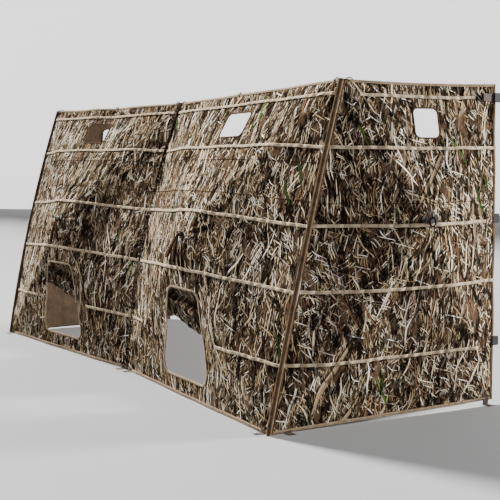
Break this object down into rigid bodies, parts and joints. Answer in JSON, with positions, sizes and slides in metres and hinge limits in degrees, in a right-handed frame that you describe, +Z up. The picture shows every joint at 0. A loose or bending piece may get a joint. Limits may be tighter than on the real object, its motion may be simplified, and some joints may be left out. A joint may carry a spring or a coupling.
{
  "type": "pop up ground blind",
  "caption": "Open-topped hub-frame hunting blind with a leaning two-panel front, end walls, stubble straps, windows and dog doors.",
  "frame": {"origin": "on the ground, under the middle of the whole blind", "axes": "+X along the front wall, towards the right end as seen from the front; +Y from the front wall to the open back; +Z up"},
  "size_m": [4.1288, 1.4197, 1.6588],
  "materials": {
    "camo_fabric": "matte printed polyester with a plain brown back",
    "flap_fabric": "matte printed polyester",
    "stubble_webbing": "ribbed tan webbing",
    "edge_webbing": "ribbed brown webbing",
    "pocket_fabric": "coated dark fabric",
    "dark_webbing": "dark brown webbing",
    "tab_webbing": "brown webbing",
    "pole_fibreglass": "black pultruded fibreglass",
    "black_plastic": "moulded nylon"
  },
  "bodies": {
    "wall_front_right": {"skin_front_right": "camo_fabric", "straps_front_right": "stubble_webbing", "binding_front_right": "edge_webbing", "pockets_front_right": "pocket_fabric", "tabs_front_right": "tab_webbing", "corner_sleeve_right": "edge_webbing", "seam_sleeve": "edge_webbing", "seam_strap": "dark_webbing"},
    "wall_end_right": {"skin_end_right": "camo_fabric", "straps_end_right": "stubble_webbing", "binding_end_right": "edge_webbing", "pockets_end_right": "pocket_fabric", "tabs_end_right": "tab_webbing", "buckle_sockets_end_right": "black_plastic"},
    "wall_front_left": {"skin_front_left": "camo_fabric", "straps_front_left": "stubble_webbing", "binding_front_left": "edge_webbing", "pockets_front_left": "pocket_fabric", "tabs_front_left": "tab_webbing", "corner_sleeve_left": "edge_webbing"},
    "wall_end_left": {"skin_end_left": "camo_fabric", "straps_end_left": "stubble_webbing", "binding_end_left": "edge_webbing", "pockets_end_left": "pocket_fabric", "tabs_end_left": "tab_webbing", "buckle_sockets_end_left": "black_plastic"},
    "hub_front_right": {"hub_front_right": "black_plastic", "hub_cap_front_right": "black_plastic", "pull_loop_front_right": "dark_webbing"},
    "pole_front_lower_inner_right": {"pole_front_lower_inner_right": "pole_fibreglass"},
    "pole_front_lower_outer_right": {"pole_front_lower_outer_right": "pole_fibreglass"},
    "pole_front_upper_outer_right": {"pole_front_upper_outer_right": "pole_fibreglass"},
    "pole_front_upper_inner_right": {"pole_front_upper_inner_right": "pole_fibreglass"},
    "window_flap_front_right": {"window_flap_front_right": "flap_fabric"},
    "hub_front_left": {"hub_front_left": "black_plastic", "hub_cap_front_left": "black_plastic", "pull_loop_front_left": "dark_webbing"},
    "pole_front_lower_inner_left": {"pole_front_lower_inner_left": "pole_fibreglass"},
    "pole_front_lower_outer_left": {"pole_front_lower_outer_left": "pole_fibreglass"},
    "pole_front_upper_outer_left": {"pole_front_upper_outer_left": "pole_fibreglass"},
    "pole_front_upper_inner_left": {"pole_front_upper_inner_left": "pole_fibreglass"},
    "window_flap_front_left": {"window_flap_front_left": "flap_fabric"},
    "hub_end_right": {"hub_end_right": "black_plastic", "hub_cap_end_right": "black_plastic", "pull_loop_end_right": "dark_webbing"},
    "pole_end_lower_front_right": {"pole_end_lower_front_right": "pole_fibreglass"},
    "pole_end_lower_back_right": {"pole_end_lower_back_right": "pole_fibreglass"},
    "pole_end_upper_back_right": {"pole_end_upper_back_right": "pole_fibreglass"},
    "pole_end_upper_front_right": {"pole_end_upper_front_right": "pole_fibreglass"},
    "window_flap_end_right": {"window_flap_end_right": "flap_fabric"},
    "hub_end_left": {"hub_end_left": "black_plastic", "hub_cap_end_left": "black_plastic", "pull_loop_end_left": "dark_webbing"},
    "pole_end_lower_front_left": {"pole_end_lower_front_left": "pole_fibreglass"},
    "pole_end_lower_back_left": {"pole_end_lower_back_left": "pole_fibreglass"},
    "pole_end_upper_back_left": {"pole_end_upper_back_left": "pole_fibreglass"},
    "pole_end_upper_front_left": {"pole_end_upper_front_left": "pole_fibreglass"},
    "window_flap_end_left": {"window_flap_end_left": "flap_fabric"},
    "door_flap_front_right": {"door_flap_front_right": "flap_fabric"},
    "door_flap_front_left": {"door_flap_front_left": "flap_fabric"}
  },
  "joints": [
    {"name": "seam_fold", "type": "hinge", "parent": "wall_front_right", "child": "wall_front_left", "pos_m": [0, -0.542, 0], "axis": [0, 0.24, 0.9708], "range_deg": [-60, 20]},
    {"name": "end_swing_right", "type": "hinge", "parent": "wall_front_right", "child": "wall_end_right", "pos_m": [1.89, -0.662, 0], "axis": [0, 0.24, 0.9708], "range_deg": [-75, 40]},
    {"name": "end_swing_left", "type": "hinge", "parent": "wall_front_left", "child": "wall_end_left", "pos_m": [-1.89, -0.662, 0], "axis": [0, -0.24, -0.9708], "range_deg": [-75, 40]},
    {"name": "hub_pop_front_right", "type": "slide", "parent": "wall_front_right", "child": "hub_front_right", "axis": [0.0615, 0.9689, -0.2396], "range_m": [0, 0.173], "deforming": ["skin_front_right", "straps_front_right", "binding_front_right"]},
    {"name": "pole_swing_front_lower_inner_right", "type": "hinge", "parent": "hub_front_right", "child": "pole_front_lower_inner_right", "pos_m": [0.90184, -0.61209, 0.85382], "axis": [-0.6644, 0.2189, 0.7146], "range_deg": [0, 8.71]},
    {"name": "pole_swing_front_lower_outer_right", "type": "hinge", "parent": "hub_front_right", "child": "pole_front_lower_outer_right", "pos_m": [0.95507, -0.61539, 0.85417], "axis": [-0.6767, -0.136, -0.7236], "range_deg": [0, 8.56]},
    {"name": "pole_swing_front_upper_outer_right", "type": "hinge", "parent": "hub_front_right", "child": "pole_front_upper_outer_right", "pos_m": [0.95547, -0.6038, 0.90114], "axis": [0.6644, -0.2189, -0.7146], "range_deg": [0, 8.71]},
    {"name": "pole_swing_front_upper_inner_right", "type": "hinge", "parent": "hub_front_right", "child": "pole_front_upper_inner_right", "pos_m": [0.90224, -0.60051, 0.90078], "axis": [0.6767, 0.136, 0.7236], "range_deg": [0, 8.56]},
    {"name": "window_flap_swing_front_right", "type": "hinge", "parent": "wall_front_right", "child": "window_flap_front_right", "pos_m": [0.98469, -0.34104, 1.38817], "axis": [0.998, -0.0634, 0], "range_deg": [0, 176]},
    {"name": "hub_pop_front_left", "type": "slide", "parent": "wall_front_left", "child": "hub_front_left", "axis": [-0.0615, 0.9689, -0.2396], "range_m": [0, 0.173], "deforming": ["skin_front_left", "straps_front_left", "binding_front_left"]},
    {"name": "pole_swing_front_lower_inner_left", "type": "hinge", "parent": "hub_front_left", "child": "pole_front_lower_inner_left", "pos_m": [-0.90184, -0.61209, 0.85382], "axis": [-0.6644, -0.2189, -0.7146], "range_deg": [0, 8.71]},
    {"name": "pole_swing_front_lower_outer_left", "type": "hinge", "parent": "hub_front_left", "child": "pole_front_lower_outer_left", "pos_m": [-0.95507, -0.61539, 0.85417], "axis": [-0.6767, 0.136, 0.7236], "range_deg": [0, 8.56]},
    {"name": "pole_swing_front_upper_outer_left", "type": "hinge", "parent": "hub_front_left", "child": "pole_front_upper_outer_left", "pos_m": [-0.95547, -0.6038, 0.90114], "axis": [0.6644, 0.2189, 0.7146], "range_deg": [0, 8.71]},
    {"name": "pole_swing_front_upper_inner_left", "type": "hinge", "parent": "hub_front_left", "child": "pole_front_upper_inner_left", "pos_m": [-0.90224, -0.60051, 0.90078], "axis": [0.6767, -0.136, -0.7236], "range_deg": [0, 8.56]},
    {"name": "window_flap_swing_front_left", "type": "hinge", "parent": "wall_front_left", "child": "window_flap_front_left", "pos_m": [-0.98469, -0.34104, 1.38817], "axis": [0.998, 0.0634, 0], "range_deg": [0, 176]},
    {"name": "hub_pop_end_right", "type": "slide", "parent": "wall_end_right", "child": "hub_end_right", "axis": [-1, 0, 0], "range_m": [0, 0.124], "deforming": ["skin_end_right", "straps_end_right", "binding_end_right"]},
    {"name": "pole_swing_end_lower_front_right", "type": "hinge", "parent": "hub_end_right", "child": "pole_end_lower_front_right", "pos_m": [2.041, 0.12214, 0.94943], "axis": [0, -0.7763, 0.6304], "range_deg": [0, 6.27]},
    {"name": "pole_swing_end_lower_back_right", "type": "hinge", "parent": "hub_end_right", "child": "pole_end_lower_back_right", "pos_m": [2.041, 0.16271, 0.94613], "axis": [0, -0.8679, -0.4967], "range_deg": [0, 7.26]},
    {"name": "pole_swing_end_upper_back_right", "type": "hinge", "parent": "hub_end_right", "child": "pole_end_upper_back_right", "pos_m": [2.041, 0.16753, 1.00532], "axis": [0, 0.7763, -0.6304], "range_deg": [0, 9.47]},
    {"name": "pole_swing_end_upper_front_right", "type": "hinge", "parent": "hub_end_right", "child": "pole_end_upper_front_right", "pos_m": [2.041, 0.12695, 1.00862], "axis": [0, 0.8679, 0.4967], "range_deg": [0, 10.76]},
    {"name": "window_flap_swing_end_right", "type": "hinge", "parent": "wall_end_right", "child": "window_flap_end_right", "pos_m": [1.96035, 0.2005, 1.36383], "axis": [0, 1, 0], "range_deg": [0, 176]},
    {"name": "hub_pop_end_left", "type": "slide", "parent": "wall_end_left", "child": "hub_end_left", "axis": [1, 0, 0], "range_m": [0, 0.124], "deforming": ["skin_end_left", "straps_end_left", "binding_end_left"]},
    {"name": "pole_swing_end_lower_front_left", "type": "hinge", "parent": "hub_end_left", "child": "pole_end_lower_front_left", "pos_m": [-2.041, 0.12214, 0.94943], "axis": [0, 0.7763, -0.6304], "range_deg": [0, 6.27]},
    {"name": "pole_swing_end_lower_back_left", "type": "hinge", "parent": "hub_end_left", "child": "pole_end_lower_back_left", "pos_m": [-2.041, 0.16271, 0.94613], "axis": [0, 0.8679, 0.4967], "range_deg": [0, 7.26]},
    {"name": "pole_swing_end_upper_back_left", "type": "hinge", "parent": "hub_end_left", "child": "pole_end_upper_back_left", "pos_m": [-2.041, 0.16753, 1.00532], "axis": [0, -0.7763, 0.6304], "range_deg": [0, 9.47]},
    {"name": "pole_swing_end_upper_front_left", "type": "hinge", "parent": "hub_end_left", "child": "pole_end_upper_front_left", "pos_m": [-2.041, 0.12695, 1.00862], "axis": [0, -0.8679, -0.4967], "range_deg": [0, 10.76]},
    {"name": "window_flap_swing_end_left", "type": "hinge", "parent": "wall_end_left", "child": "window_flap_end_left", "pos_m": [-1.96035, 0.2005, 1.36383], "axis": [0, -1, 0], "range_deg": [0, 176]},
    {"name": "door_flap_swing_front_right", "type": "hinge", "parent": "wall_front_right", "child": "door_flap_front_right", "pos_m": [0.928, -0.61831, 0.60944], "axis": [0.998, -0.0634, 0], "range_deg": [0, 85]},
    {"name": "door_flap_swing_front_left", "type": "hinge", "parent": "wall_front_left", "child": "door_flap_front_left", "pos_m": [-0.928, -0.61831, 0.60944], "axis": [0.998, 0.0634, 0], "range_deg": [0, 85]}
  ],
  "couplings": [
    {"joint": "pole_swing_front_lower_inner_right", "follows": "hub_pop_front_right", "rad_per_m": 0.87324},
    {"joint": "pole_swing_front_lower_outer_right", "follows": "hub_pop_front_right", "rad_per_m": 0.85902},
    {"joint": "pole_swing_front_upper_outer_right", "follows": "hub_pop_front_right", "rad_per_m": 0.87324},
    {"joint": "pole_swing_front_upper_inner_right", "follows": "hub_pop_front_right", "rad_per_m": 0.85902},
    {"joint": "pole_swing_front_lower_inner_left", "follows": "hub_pop_front_left", "rad_per_m": 0.87324},
    {"joint": "pole_swing_front_lower_outer_left", "follows": "hub_pop_front_left", "rad_per_m": 0.85902},
    {"joint": "pole_swing_front_upper_outer_left", "follows": "hub_pop_front_left", "rad_per_m": 0.87324},
    {"joint": "pole_swing_front_upper_inner_left", "follows": "hub_pop_front_left", "rad_per_m": 0.85902},
    {"joint": "pole_swing_end_lower_front_right", "follows": "hub_pop_end_right", "rad_per_m": 0.87546},
    {"joint": "pole_swing_end_lower_back_right", "follows": "hub_pop_end_right", "rad_per_m": 1.015},
    {"joint": "pole_swing_end_upper_back_right", "follows": "hub_pop_end_right", "rad_per_m": 1.3265},
    {"joint": "pole_swing_end_upper_front_right", "follows": "hub_pop_end_right", "rad_per_m": 1.5075},
    {"joint": "pole_swing_end_lower_front_left", "follows": "hub_pop_end_left", "rad_per_m": 0.87546},
    {"joint": "pole_swing_end_lower_back_left", "follows": "hub_pop_end_left", "rad_per_m": 1.015},
    {"joint": "pole_swing_end_upper_back_left", "follows": "hub_pop_end_left", "rad_per_m": 1.3265},
    {"joint": "pole_swing_end_upper_front_left", "follows": "hub_pop_end_left", "rad_per_m": 1.5075}
  ]
}
